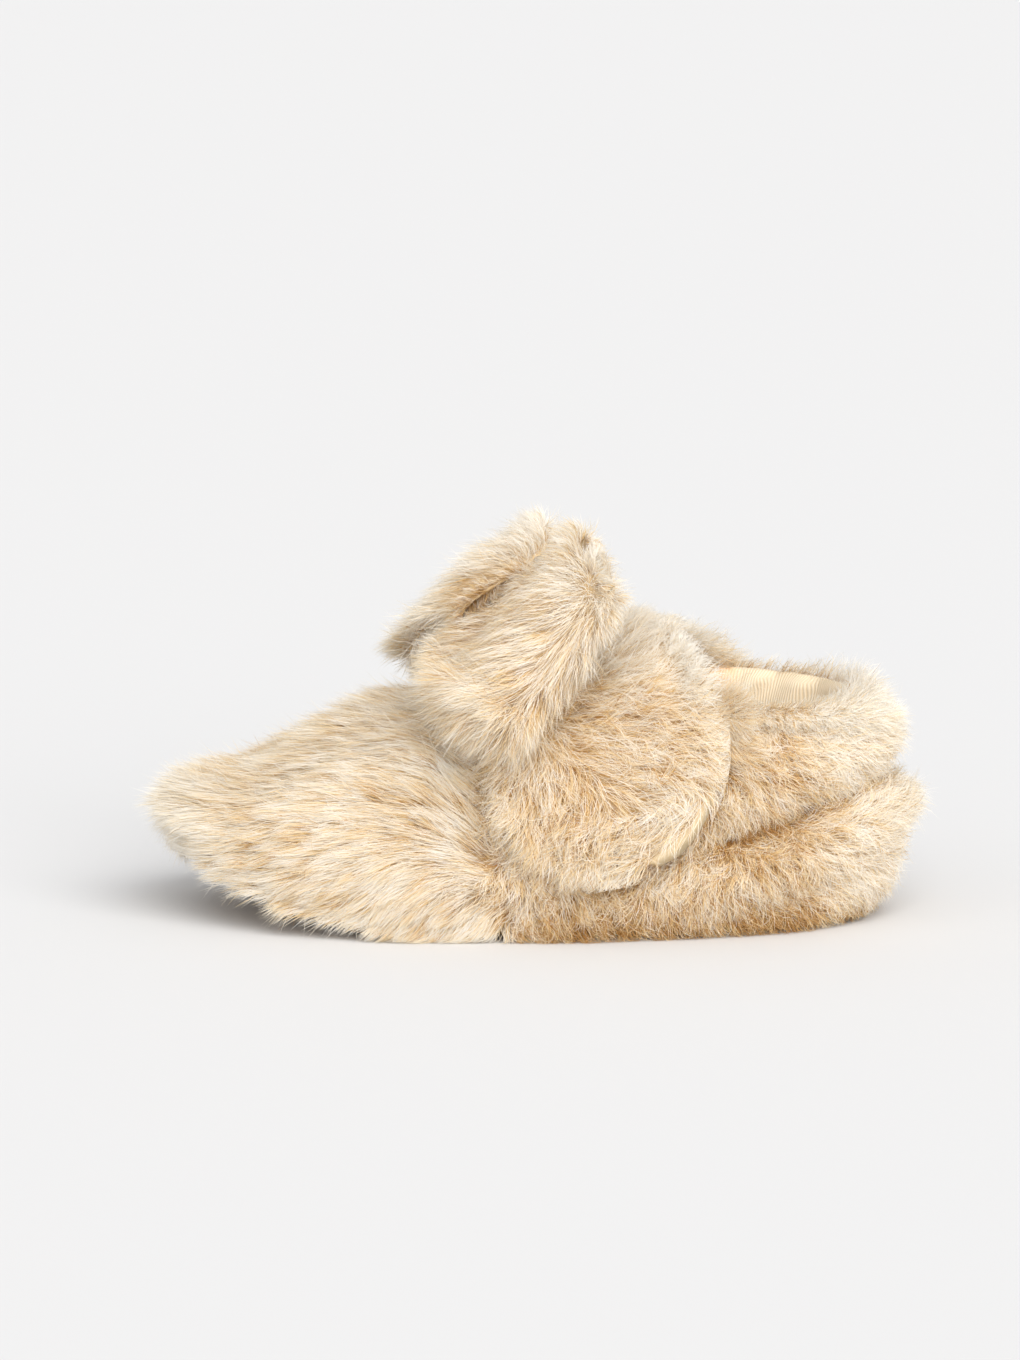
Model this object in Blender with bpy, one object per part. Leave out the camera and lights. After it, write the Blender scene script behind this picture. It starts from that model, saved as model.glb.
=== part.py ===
"""Pre-walker shoe for the left foot: a soft slipper of deep pile with a wide strap and a pile bow.

Lengths are in millimetres, and MM turns them into Blender's metres where a mesh is made.
The toe points to -X, the outer side of the foot to -Y, and the floor is Z = 0.
"""

import math
from collections import namedtuple

import bmesh
import bpy
import numpy as np
from mathutils import Matrix, Vector, noise

MM = 0.001

# Driving sizes, all over the pile
LENGTH = 128.0
BALL_WIDTH = 63.0
INSTEP_HEIGHT = 39.0
HEEL_HEIGHT = 38.0
FIT_GAP = 0.3

# Sole and insole
TOE_SPRING = 12.0
SPRING_START = -20.0
SPRING_REACH = 40.0
SPRING_POWER = 1.8
ARCH_RISE = 1.6
ARCH_PLACE = -1.0
ARCH_HALF = 5.0
HEEL_LIFT_START = 46.0
HEEL_LIFT = 1.6
SOLE_THICK = 2.4
INSOLE_THICK = 1.8
INSOLE_INSET = 0.5

# Pile: height of the locks over the pile's mean surface, and how far their tips lean with the nap
LOCK_HEIGHT = 2.5
LOCK_VALLEY = 0.7
LOCK_LEAN = 1.2
LOCK_PITCH = 3.4
CLUMP_SIZE = 13.0
CLUMP_SWELL = 0.9

# The upper's grid: columns run round the foot from the toe, rings climb from the sole to the collar
COLUMNS = 84
OUTER_RINGS = 25
INNER_RINGS = 9
HEEL_ROUNDNESS = 2.45

# A ring's reach is a share of half the length or half the ball width, its rise a share of the
# instep height at the toe and of the heel height at the side and heel. Follow is the share of the
# toe spring that the ring keeps, and wall the thickness of fabric and pile there, in millimetres.
Ring = namedtuple(
    "Ring",
    "name toe_reach toe_rise side_place side_reach side_rise heel_reach heel_rise follow pointed wall",
)
RINGS = (
    Ring("feather", 0.890, 0.016, -0.19, 0.867, 0.016, 0.890, 0.016, 1.00, 2.25, 2.4),
    Ring("roll", 0.955, 0.040, -0.17, 0.962, 0.110, 0.966, 0.120, 1.00, 2.25, 4.5),
    Ring("girth", 0.990, 0.165, -0.14, 1.000, 0.265, 1.002, 0.320, 0.85, 2.25, 6.0),
    Ring("brow", 0.968, 0.305, -0.09, 0.992, 0.440, 0.998, 0.510, 0.70, 2.25, 6.2),
    Ring("toe top", 0.890, 0.465, 0.00, 0.968, 0.600, 0.985, 0.655, 0.50, 2.25, 6.2),
    Ring("low vamp", 0.745, 0.605, 0.09, 0.945, 0.740, 0.980, 0.780, 0.30, 2.20, 6.2),
    Ring("mid vamp", 0.580, 0.780, 0.19, 0.905, 0.870, 0.972, 0.890, 0.10, 2.10, 6.0),
    Ring("high vamp", 0.405, 0.930, 0.28, 0.850, 0.965, 0.945, 0.965, 0.00, 1.95, 5.2),
    Ring("top line", 0.235, 0.985, 0.36, 0.780, 1.020, 0.902, 0.995, 0.00, 1.80, 4.2),
    Ring("throat", 0.130, 0.985, 0.42, 0.700, 1.025, 0.856, 0.985, 0.00, 1.70, 3.2),
)

# Grooves in the pile: the heel's gathered fold and the seam between vamp and quarter. Each runs as
# a straight line in side view through (place, rise), with its slope given along the other axis.
Groove = namedtuple("Groove", "name place rise slope depth half_width fade_from fade_to")
HEEL_FOLD = Groove("heel fold", 26.0, 15.5, 0.27, 3.6, 3.0, 16.0, 42.0)
VAMP_SEAM = Groove("vamp seam", -3.5, 2.0, -0.19, 2.6, 2.6, 36.0, 30.0)

# The strap's arch over the instep, measured on its underside
STRAP_HALF_WIDTH = 17.6
STRAP_THICK = 4.6
STRAP_EDGE_THICK = 1.9
UNDER_BOW_PRESS = 0.6
STRAP_CREST_PLACE = 6.0
STRAP_CREST_RISE = 43.4
STRAP_CREST_SLOPE = 5.4
STRAP_NEAR_PLACE = 14.2
STRAP_FAR_PLACE = 20.0
STRAP_BASE_RISE = 11.0
STRAP_HALF_SPAN = 28.9
STRAP_FULLNESS = 2.8
LOBE_START_RISE = 29.0
LOBE_TIP_HALF = 3.2
STRAP_SEWN_ANGLE = 72.0
STRAP_NEAR_STATIONS = 20
STRAP_FAR_STATIONS = 12
STRAP_COLUMNS = 10
UNDER_STRAP_WALL = 1.8
CHORD_ROOM = 0.25

# The bow lies on the strap, leaning with the instep
BOW_PLACE = (-4.2, 0.0, 50.6)
BOW_LEAN = 33.0
BOW_TWIST = 4.0
BOW_ROLL = 2.0
RIBBON_STATIONS_A_ROW = 3
RIBBON_COLUMNS = 9
# Half of the ribbon's run, from its sewn end under the knot, round the loop, to the top of the knot
Fold = namedtuple("Fold", "name out up half_width thick")
RIBBON = (
    Fold("sewn end", 0.7, -1.4, 4.5, 1.9),
    Fold("under gather", 6.0, -1.5, 5.4, 2.0),
    Fold("under side", 15.0, -1.6, 12.8, 3.4),
    Fold("shoulder", 24.0, -2.8, 16.6, 4.2),
    Fold("droop", 31.0, -7.0, 14.0, 4.0),
    Fold("loop end", 33.0, -3.2, 14.6, 4.6),
    Fold("over side", 26.8, 4.4, 16.8, 4.8),
    Fold("crown", 18.0, 7.4, 17.0, 4.8),
    Fold("over gather", 10.2, 6.4, 12.6, 3.8),
    Fold("dip", 5.4, 2.1, 5.8, 2.2),
    Fold("under knot", 0.0, 1.4, 4.5, 1.9),
)
RIBBON_CURL = 0.9
LOOP_DIP = 0.12
NEAR_SAG = 1.0
NEAR_PRESS = 0.74
FAR_PRESS = 0.34
NEAR_THIN = 0.74
FAR_THIN = 0.76
NEAR_LEAN = 13.0
FAR_LEAN = 6.5
NEAR_SLIDE = -2.0
FAR_SLIDE = 1.4
KNOT_STATIONS = 24
KNOT_HALF_WIDTH = 3.9
KNOT_TOP_THICK = 4.2
KNOT_BOTTOM_THICK = 1.6
KNOT_COLUMNS = 4
KNOT_SQUARE = 0.45

Material = namedtuple("Material", "name colour roughness")
PILE = Material("pile", (0.78, 0.62, 0.42, 1.0), 0.95)
LINING = Material("lining", (0.86, 0.74, 0.56, 1.0), 0.85)
SUEDE = Material("suede", (0.42, 0.34, 0.26, 1.0), 0.90)


def smooth_step(low, high, value):
    """0 at low, 1 at high, with an easy start and end. High may be below low."""
    share = np.clip((np.asarray(value, float) - low) / (high - low), 0.0, 1.0)
    return share * share * (3.0 - 2.0 * share)


def floor_line(x):
    """Height of the sole's underside: flat under heel and forefoot, with arch and toe spring."""
    x = np.asarray(x, float)
    spring = TOE_SPRING * np.clip((SPRING_START - x) / SPRING_REACH, 0.0, None) ** SPRING_POWER
    bump = np.clip(1.0 - ((x - ARCH_PLACE) / ARCH_HALF) ** 2, 0.0, None)
    heel = np.clip((x - HEEL_LIFT_START) / (LENGTH / 2 - HEEL_LIFT_START), 0.0, None) ** 2
    return spring + ARCH_RISE * bump + HEEL_LIFT * heel


def through_rows(rows, count):
    """Smooth values through a table's number columns, count of them, from first row to last."""
    table = np.array([[v for v in row if not isinstance(v, str)] for row in rows], float)
    places = np.linspace(0.0, len(table) - 1.0, count)
    first = np.minimum(places.astype(int), len(table) - 2)
    share = (places - first)[:, None]
    padded = np.vstack([2 * table[0] - table[1], table, 2 * table[-1] - table[-2]])
    a, b, c, d = (padded[first + k] for k in range(4))
    return 0.5 * (
        2 * b
        + (c - a) * share
        + (2 * a - 5 * b + 4 * c - d) * share**2
        + (3 * b - a - 3 * c + d) * share**3
    )


def normals_of(grid, wrap_rows, wrap_columns):
    """Unit normals of a grid of points, from its neighbours' differences."""

    def slope(axis, wrap):
        if wrap:
            return np.roll(grid, -1, axis) - np.roll(grid, 1, axis)
        return np.gradient(grid, axis=axis)

    normal = np.cross(slope(0, wrap_rows), slope(1, wrap_columns))
    return normal / np.linalg.norm(normal, axis=2, keepdims=True)


def unit(vectors):
    return vectors / np.maximum(np.linalg.norm(vectors, axis=-1, keepdims=True), 1e-9)


def with_locks(grid, normal, nap, amount):
    """The grid with points, in a brick pattern, drawn out into the tips of locks of pile."""
    rows, columns = grid.shape[:2]
    row, column = np.mgrid[0:rows, 0:columns]
    tip = (row % 2 == 1) & ((column + row // 2) % 2 == 0)
    vary = 0.75 + 0.5 * np.modf(np.abs(np.sin(12.9898 * row + 78.233 * column)) * 437.585)[0]
    clump = np.array([[noise.noise(Vector(p) / CLUMP_SIZE) for p in line] for line in grid])
    nap = unit(nap - normal * np.sum(nap * normal, axis=2, keepdims=True))
    steps = [np.linalg.norm(np.gradient(grid, axis=axis), axis=2) for axis in (0, 1)]
    room = np.clip(np.sqrt(steps[0] * steps[1]) / LOCK_PITCH, 0.0, 1.0)
    height = np.where(tip, LOCK_HEIGHT * vary * room, -LOCK_VALLEY) + CLUMP_SWELL * clump
    lean = np.where(tip, LOCK_HEIGHT * LOCK_LEAN * vary * room, 0.0)
    return grid + (amount * height)[..., None] * normal + (amount * lean)[..., None] * nap


def ring_points(row, angle):
    """One ring round the foot, from its row of the table."""
    toe, toe_rise, side, reach, side_rise, heel, heel_rise, follow, pointed, _ = row
    half_length, half_width = LENGTH / 2, BALL_WIDTH / 2
    fore = np.cos(angle)
    power = np.where(fore > 0, 2.0 / pointed, 2.0 / HEEL_ROUNDNESS)
    along = np.abs(fore) ** power
    end = np.where(fore > 0, -toe * half_length, heel * half_length)
    x = side * half_length + (end - side * half_length) * along
    heel_narrowing = 0.05 * smooth_step(-5.0, 40.0, x)
    arch_narrowing = 0.05 * np.exp(-(((x - 4.0) / 17.0) ** 2)) * (np.sin(angle) < 0)
    across = np.abs(np.sin(angle)) ** power * (1.0 - heel_narrowing - arch_narrowing)
    toe_swing = 2.4 * smooth_step(-15.0, -60.0, x)
    y = toe_swing - np.sign(np.sin(angle)) * reach * half_width * across
    end_rise = np.where(fore > 0, toe_rise * INSTEP_HEIGHT, heel_rise * HEEL_HEIGHT)
    z = side_rise * HEEL_HEIGHT + (end_rise - side_rise * HEEL_HEIGHT) * along**2
    return np.stack([x, y, z + follow * floor_line(x)], axis=-1)


def upper_forms():
    """The upper's outer and inner mean surfaces, each a grid of rings by columns, with normals."""
    angle = np.arange(COLUMNS) * 2 * math.pi / COLUMNS
    rows = through_rows(RINGS, OUTER_RINGS)
    outer = np.array([ring_points(row, angle) for row in rows])
    normal = -normals_of(outer, False, True)
    pick = np.linspace(OUTER_RINGS - 1, 0, INNER_RINGS).round().astype(int)
    wall = rows[pick, -1][:, None, None]
    inner = outer[pick] - normal[pick] * wall
    inner[-1, :, 2] = outer[0, :, 2]
    return outer, normal, inner


def groove_depth(points, groove, across_fold):
    """How deep a groove is pressed at each point. A fold runs along X, and a seam climbs along Z."""
    x, z = points[..., 0], points[..., 2]
    if across_fold:
        off = z - (groove.rise + (x - groove.place) * groove.slope)
        fade = smooth_step(groove.fade_from, groove.fade_to, x)
    else:
        off = x - (groove.place + (z - groove.rise) * groove.slope)
        fade = smooth_step(groove.fade_from, groove.fade_to, z)
    return groove.depth * fade * np.exp(-((off / groove.half_width) ** 2))


def nap_of_upper(points):
    """The way the pile lies: forward on the vamp and back on the quarters, and down near the sole."""
    x, z = points[..., 0], points[..., 2]
    vamp = smooth_step(0.0, -12.0, x)
    low = smooth_step(24.0, 4.0, z - floor_line(x))
    ahead = np.stack([-np.ones_like(x), np.zeros_like(x), 0.15 - 0.9 * low], axis=-1)
    behind = np.stack([np.ones_like(x), np.zeros_like(x), -0.5 - 0.3 * low], axis=-1)
    return unit(vamp[..., None] * ahead + (1.0 - vamp[..., None]) * behind)


def strap_places(angle, across):
    """The strap's underside, at an angle over the instep and a share across its width."""
    power = 2.0 / STRAP_FULLNESS
    sine, cosine = np.sin(angle), np.clip(np.cos(angle), 0.0, None)
    crest = STRAP_CREST_RISE + STRAP_CREST_SLOPE * across
    z = STRAP_BASE_RISE + (crest - STRAP_BASE_RISE) * cosine**power
    y = STRAP_HALF_SPAN * np.sign(sine) * np.abs(sine) ** power
    x = strap_middle(angle) + across * strap_half_width(angle)
    return np.stack([x, y, z], axis=-1)


def strap_middle(angle):
    """Where the strap's middle line runs: it sweeps back as it goes down on both sides."""
    side = np.where(np.sin(angle) < 0, STRAP_NEAR_PLACE, STRAP_FAR_PLACE)
    return STRAP_CREST_PLACE + (side - STRAP_CREST_PLACE) * np.abs(np.sin(angle)) ** 1.5


def strap_half_width(angle):
    """Half the strap's width: full over the instep, rounded off to the lobe's tip on the outer side."""
    upright = np.clip(np.cos(angle), 0.0, None) ** (2.0 / STRAP_FULLNESS)
    rise = (STRAP_CREST_RISE - STRAP_BASE_RISE) * upright
    drop = np.clip(1.0 - rise / (LOBE_START_RISE - STRAP_BASE_RISE), 0.0, 1.0)
    lobe = np.maximum(STRAP_HALF_WIDTH * np.sqrt(1.0 - drop**2), LOBE_TIP_HALF)
    return np.where(np.sin(angle) < 0, lobe, STRAP_HALF_WIDTH)


def under_strap(points, clearance):
    """Points of the upper drawn in under the strap's arch, and how far the strap covers each."""
    x, y, z = points[..., 0], points[..., 1], points[..., 2]
    across = np.zeros_like(x)
    for _ in range(4):
        crest = STRAP_CREST_RISE + STRAP_CREST_SLOPE * across - clearance
        up = np.clip((z - STRAP_BASE_RISE) / (crest - STRAP_BASE_RISE), 0.0, None)
        out = np.abs(y) / (STRAP_HALF_SPAN - clearance)
        size = (up**STRAP_FULLNESS + out**STRAP_FULLNESS) ** (1.0 / STRAP_FULLNESS)
        angle = np.arctan2(
            (out / np.maximum(size, 1e-9)) ** (STRAP_FULLNESS / 2) * np.sign(y),
            (up / np.maximum(size, 1e-9)) ** (STRAP_FULLNESS / 2),
        )
        across = np.clip((x - strap_middle(angle)) / STRAP_HALF_WIDTH, -1.3, 1.3)
    beyond = np.abs(x - strap_middle(angle)) - strap_half_width(angle)
    covered = smooth_step(6.5, 2.5, beyond)
    covered = covered * smooth_step(STRAP_BASE_RISE - 6.0, STRAP_BASE_RISE - 2.0, z)
    past_sewn = np.degrees(angle) - STRAP_SEWN_ANGLE
    covered = covered * smooth_step(12.0, 2.0, past_sewn)
    draw = 1.0 - covered * (1.0 - 1.0 / np.maximum(size, 1.0))
    drawn = np.stack([x, y * draw, STRAP_BASE_RISE + (z - STRAP_BASE_RISE) * draw], axis=-1)
    low = (z < STRAP_BASE_RISE)[..., None]
    return np.where(low, np.stack([x, y * draw, z], axis=-1), drawn), covered


def new_part(name, rings, material, wrap_rows):
    """A closed solid from rings of points. Rings that don't wrap round get a cap at each end."""
    shell = bmesh.new()
    verts = [[shell.verts.new(Vector(p) * MM) for p in ring] for ring in rings]
    count = len(verts[0])
    pairs = list(zip(verts, verts[1:] + verts[:1])) if wrap_rows else list(zip(verts, verts[1:]))
    for low, high in pairs:
        for k in range(count):
            n = (k + 1) % count
            shell.faces.new((low[k], low[n], high[n], high[k]))
    if not wrap_rows:
        shell.faces.new(list(reversed(verts[0])))
        shell.faces.new(verts[-1])
    bmesh.ops.recalc_face_normals(shell, faces=shell.faces)
    bmesh.ops.triangulate(shell, faces=shell.faces, quad_method="SHORT_EDGE")
    mesh = bpy.data.meshes.new(name)
    shell.to_mesh(mesh)
    shell.free()
    mesh.materials.append(new_material(name, material))
    part = bpy.data.objects.new(name, mesh)
    bpy.data.collections["pre_walker_shoe"].objects.link(part)
    return part


def new_material(name, material):
    made = bpy.data.materials.new(f"{name}_{material.name}")
    made.use_nodes = True
    shader = made.node_tree.nodes["Principled BSDF"]
    shader.inputs["Base Color"].default_value = material.colour
    shader.inputs["Roughness"].default_value = material.roughness
    shader.inputs["Metallic"].default_value = 0.0
    return made


def make_upper():
    """Vamp and quarters in one hollow wall, open at the collar and underneath, with locks outside."""
    outer, normal, inner = upper_forms()
    pressed = groove_depth(outer, HEEL_FOLD, True) + groove_depth(outer, VAMP_SEAM, False)
    outer = outer - normal * pressed[..., None]
    outer, covered = under_strap(outer, FIT_GAP + CHORD_ROOM)
    height = np.arange(OUTER_RINGS)[:, None] / (OUTER_RINGS - 1.0)
    away_from_edges = smooth_step(0.04, 0.14, height) * smooth_step(1.0, 0.9, height)
    amount = away_from_edges * smooth_step(0.5, 0.0, covered)
    outer = with_locks(outer, normal, nap_of_upper(outer), amount)
    outer[..., 2] = np.maximum(outer[..., 2], 0.4)
    inner, _ = under_strap(inner, FIT_GAP + CHORD_ROOM + UNDER_STRAP_WALL)
    return new_part("upper", np.concatenate([outer, inner]), PILE, True)


def sole_edge():
    """Where the upper's inside meets the sole: the outline that the sole fills."""
    _, _, inner = upper_forms()
    return inner[-1]


def make_plate(name, inset, low, thick, material, columns):
    """A sole-shaped plate along the floor line, from sections between the outline's two sides."""
    edge = sole_edge()
    middle = edge[:, :2].mean(axis=0)
    half = COLUMNS // 2
    rings = []
    for k in range(1, half):
        near, far = edge[k], edge[COLUMNS - k]
        x = near[0] + np.clip(middle[0] - near[0], -1.0, 1.0) * inset
        y = np.linspace(near[1] + inset, far[1] - inset, columns)
        under = np.stack([np.full(columns, x), y, np.full(columns, floor_line(near[0]) + low)], axis=-1)
        rings.append(np.concatenate([under, under[::-1] + (0.0, 0.0, thick)]))
    return new_part(name, rings, material, False)


def make_strap():
    """Sewn to the inner side, over the instep, to a round lobe that closes on the outer side."""
    run = np.linspace(1.0, 0.0, STRAP_NEAR_STATIONS, endpoint=False)
    near = -np.sin(run * math.pi / 2) * math.pi / 2
    far = np.radians(np.linspace(0.0, STRAP_SEWN_ANGLE, STRAP_FAR_STATIONS))
    angle = np.concatenate([near, far])[:, None]
    across = np.linspace(-1.0, 1.0, STRAP_COLUMNS)[None, :]
    angle, across = np.broadcast_arrays(angle, across)
    under = strap_places(angle, across)
    normal = -normals_of(under, False, False)
    crown = (1.0 - np.abs(across) ** 3) ** 0.6
    crown = crown * (1.0 - UNDER_BOW_PRESS * smooth_step(16.0, 6.0, np.abs(under[..., 1])))
    over = under + normal * (STRAP_EDGE_THICK + (STRAP_THICK - STRAP_EDGE_THICK) * crown)[..., None]
    back = np.stack([np.ones_like(across), np.zeros_like(across), np.zeros_like(across)], axis=-1)
    down = np.stack([np.zeros_like(across), np.zeros_like(across), -np.ones_like(across)], axis=-1)
    tilt = smooth_step(-1.0, 0.7, across)[..., None]
    inside = (np.abs(across) < 0.99) & (np.abs(angle) < math.radians(86))
    beside_bow = smooth_step(12.0, 24.0, np.abs(over[..., 1]))
    over = with_locks(over, normal, tilt * back + (1.0 - tilt) * down, 0.75 * inside * beside_bow)
    rings = np.concatenate([over, under[:, ::-1]], axis=1)
    return new_part("strap", rings, PILE, False)


def bow_to_shoe(points):
    """From the bow's own axes, back along the instep, across and up off the strap, to the shoe's."""
    turn = (
        Matrix.Rotation(math.radians(-BOW_LEAN), 3, "Y")
        @ Matrix.Rotation(math.radians(BOW_TWIST), 3, "Z")
        @ Matrix.Rotation(math.radians(BOW_ROLL), 3, "X")
    )
    return points @ np.array(turn).T + np.array(BOW_PLACE)


def loops_leaned(points, out):
    """The ribbon turned steeper than the knot, and slid forward, where its loops stand free of it."""
    free = smooth_step(7.0, 20.0, np.abs(out))[:, None]
    turn = np.radians(np.where(out > 0.0, NEAR_LEAN, FAR_LEAN))[:, None] * free
    slide = np.where(out > 0.0, NEAR_SLIDE, FAR_SLIDE)[:, None] * free
    x, y, z = points[..., 0] - slide, points[..., 1], points[..., 2]
    fore, rise = x * np.cos(turn) - z * np.sin(turn), x * np.sin(turn) + z * np.cos(turn)
    return np.stack([fore, y, rise], axis=-1)


def make_bow_loops():
    """One strip of pile fabric folded into two loops, its ends meeting under the knot."""
    half = through_rows(RIBBON, (len(RIBBON) - 1) * RIBBON_STATIONS_A_ROW + 1)
    mirrored = half[-2::-1] * (-1.0, 1.0, 1.0, 1.0)
    out, up, half_width, thick = np.concatenate([half, mirrored]).T
    free = smooth_step(5.0, 16.0, np.abs(out))
    press = np.where(out > 0.0, NEAR_PRESS, FAR_PRESS) * free
    up = up * (1.0 - press * (up > 0.0))
    thick = thick * (1.0 - (1.0 - np.where(out > 0.0, NEAR_THIN, FAR_THIN)) * free)
    up = up - NEAR_SAG * smooth_step(16.0, 31.0, out)
    line = np.stack([np.zeros_like(out), -out, up], axis=-1)
    along = unit(np.gradient(line, axis=0))
    off = np.stack([np.zeros_like(out), -along[:, 2], along[:, 1]], axis=-1)
    across = np.linspace(-1.0, 1.0, RIBBON_COLUMNS)
    open_share = smooth_step(8.0, 15.0, half_width)[:, None, None]
    curl = RIBBON_CURL * np.clip(1.0 - 1.4 * press, 0.0, 1.0)[:, None, None] * open_share
    curl = curl * off[:, None] * (np.abs(across) ** 4)[None, :, None]
    dip = LOOP_DIP * smooth_step(6.0, 20.0, np.abs(out))
    back = np.stack([np.ones_like(dip), np.zeros_like(dip), dip], axis=-1)
    wide = line[:, None] + back[:, None] * (half_width[:, None] * across)[..., None] - curl
    shift = off[:, None] * (thick / 2)[:, None, None]
    crown = (1.0 - 0.6 * np.abs(across) ** 3)[None, :, None]
    over, under = wide + shift * crown, wide - shift * 0.8
    upper_side = smooth_step(-0.6, 0.2, off[:, 2])[:, None]
    amount = open_share[..., 0] * upper_side * (np.abs(across) < 0.99)
    nap = np.broadcast_to(np.array([-1.0, 0.0, -0.25]), over.shape)
    over = with_locks(over, np.broadcast_to(off[:, None], over.shape), nap, amount)
    rings = loops_leaned(np.concatenate([over, under[:, ::-1]], axis=1), out)
    return new_part("bow_loops", bow_to_shoe(rings), PILE, False)


def make_bow_knot():
    """A short band of pile fabric drawn tight round the middle of the bow."""
    turn = np.arange(KNOT_STATIONS) * 2 * math.pi / KNOT_STATIONS
    waist = RIBBON[-1]
    opening_half = waist.half_width + FIT_GAP + 1.0
    opening_rise = waist.up + waist.thick / 2 + FIT_GAP + 0.9
    inner = np.stack(
        [
            opening_half * np.sign(np.cos(turn)) * np.abs(np.cos(turn)) ** KNOT_SQUARE,
            np.zeros_like(turn),
            opening_rise * np.sign(np.sin(turn)) * np.abs(np.sin(turn)) ** KNOT_SQUARE,
        ],
        axis=-1,
    )
    outward = np.stack([np.cos(turn), np.zeros_like(turn), np.sin(turn)], axis=-1)
    on_top = smooth_step(-0.6, 0.8, np.sin(turn))
    thick = KNOT_BOTTOM_THICK + (KNOT_TOP_THICK - KNOT_BOTTOM_THICK) * on_top
    across = np.linspace(-1.0, 1.0, KNOT_COLUMNS)
    crown = 1.0 - 0.35 * np.abs(across) ** 2
    side = np.array([0.0, 1.0, 0.0]) * (KNOT_HALF_WIDTH * across)[:, None]
    over = inner[:, None] + side[None] + (thick[:, None] * crown)[..., None] * outward[:, None]
    under = inner[:, None] + side[None, ::-1]
    return new_part("bow_knot", bow_to_shoe(np.concatenate([over, under], axis=1)), PILE, True)


def stand_on_origin(parts):
    """Parents the pieces to one empty, so that the origin is on the floor under the shoe's middle."""
    corners = np.array([part.bound_box[k] for part in parts for k in (0, 6)])
    middle = (corners.min(axis=0) + corners.max(axis=0)) / 2
    root = bpy.data.objects.new("pre_walker_shoe", None)
    root.location = (-middle[0], -middle[1], 0.0)
    bpy.data.collections["pre_walker_shoe"].objects.link(root)
    for part in parts:
        part.parent = root


def main():
    for old in list(bpy.data.objects):
        bpy.data.objects.remove(old)
    shoe = bpy.data.collections.new("pre_walker_shoe")
    bpy.context.scene.collection.children.link(shoe)
    insole_low = SOLE_THICK + FIT_GAP
    parts = [
        make_plate("outsole", FIT_GAP, 0.0, SOLE_THICK, SUEDE, 6),
        make_plate("insole", INSOLE_INSET, insole_low, INSOLE_THICK, LINING, 4),
        make_upper(),
        make_strap(),
        make_bow_loops(),
        make_bow_knot(),
    ]
    stand_on_origin(parts)


main()
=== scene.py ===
"""Left pre-walker shoe in cream deep-pile fabric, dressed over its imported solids.

The toe points to -X, the outer side of the foot faces -Y, and the floor is at Z 0. Sizes are in
millimetres, and are turned to metres where a mesh is made.
"""

import math

import bpy
import numpy as np
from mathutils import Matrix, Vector
from mathutils.bvhtree import BVHTree
from mathutils.kdtree import KDTree


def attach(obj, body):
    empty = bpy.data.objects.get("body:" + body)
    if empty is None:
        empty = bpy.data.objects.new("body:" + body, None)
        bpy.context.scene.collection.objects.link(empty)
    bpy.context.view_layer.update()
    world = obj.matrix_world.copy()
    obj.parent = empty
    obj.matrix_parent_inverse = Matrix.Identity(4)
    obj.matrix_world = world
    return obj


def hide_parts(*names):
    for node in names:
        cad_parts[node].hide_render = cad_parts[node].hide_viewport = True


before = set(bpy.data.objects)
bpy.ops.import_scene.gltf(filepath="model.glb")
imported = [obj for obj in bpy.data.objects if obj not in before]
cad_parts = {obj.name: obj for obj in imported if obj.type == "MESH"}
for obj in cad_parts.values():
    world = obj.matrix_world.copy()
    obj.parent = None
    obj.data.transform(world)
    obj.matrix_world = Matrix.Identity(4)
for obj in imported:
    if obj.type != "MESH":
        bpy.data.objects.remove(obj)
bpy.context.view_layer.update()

# The set: one sheet of pale paper that runs far back, so that floor and background are one tone.
# A broad soft light stands at the upper right in front, a weak one low at the left in front, and
# even light comes from all round.
MM = 0.001
PAPER = "e1e1e2"
PAPER_HALF = 6.0
ROOM_LIGHT = 0.56
ROOM_TONE = "ffffff"
LIGHT_TONE = "fffefc"
LIGHTS = (
    ("key_light", 2.92, (0.32, -0.72, 0.62), 60.0),
    ("fill_light", 0.45, (-0.40, -0.82, 0.40), 90.0),
)
CAMERA_AIM = (-4.2, 0.0, 39.3)
CAMERA_ELEVATION = 9.5
CAMERA_DISTANCE = 1100.0
FRAME_WIDTH = 171.4


def colour(code):
    """A linear RGBA colour from an sRGB hex code."""
    parts = np.array([int(code[k : k + 2], 16) for k in (0, 2, 4)]) / 255.0
    linear = np.where(parts <= 0.04045, parts / 12.92, ((parts + 0.055) / 1.055) ** 2.4)
    return (*linear, 1.0)


def add(tree, kind, settings=None, sockets=None):
    """Adds a shader node, with its settings, and with its sockets set to a value or linked."""
    made = tree.nodes.new("ShaderNode" + kind)
    for name, value in (settings or {}).items():
        setattr(made, name, value)
    for name, value in (sockets or {}).items():
        if isinstance(value, bpy.types.NodeSocket):
            tree.links.new(value, made.inputs[name])
        else:
            made.inputs[name].default_value = value
    return made


def new_material(name, roughness, specular):
    """A material with one main shader, whose other sockets are set or linked by the caller."""
    made = bpy.data.materials.new(name)
    made.use_nodes = True
    shader = made.node_tree.nodes["Principled BSDF"]
    shader.inputs["Roughness"].default_value = roughness
    shader.inputs["Specular IOR Level"].default_value = specular
    return made, made.node_tree, shader


def new_piece(name, points, faces, materials, picks=None):
    """A smooth-shaded mesh object from points in millimetres."""
    mesh = bpy.data.meshes.new(name)
    mesh.from_pydata((np.asarray(points) * MM).tolist(), [], np.asarray(faces).tolist())
    for material in materials:
        mesh.materials.append(material)
    mesh.polygons.foreach_set("use_smooth", np.ones(len(mesh.polygons), bool))
    if picks is not None:
        mesh.polygons.foreach_set("material_index", np.asarray(picks, np.int32))
    mesh.update()
    piece = bpy.data.objects.new(name, mesh)
    bpy.context.scene.collection.objects.link(piece)
    return piece


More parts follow.
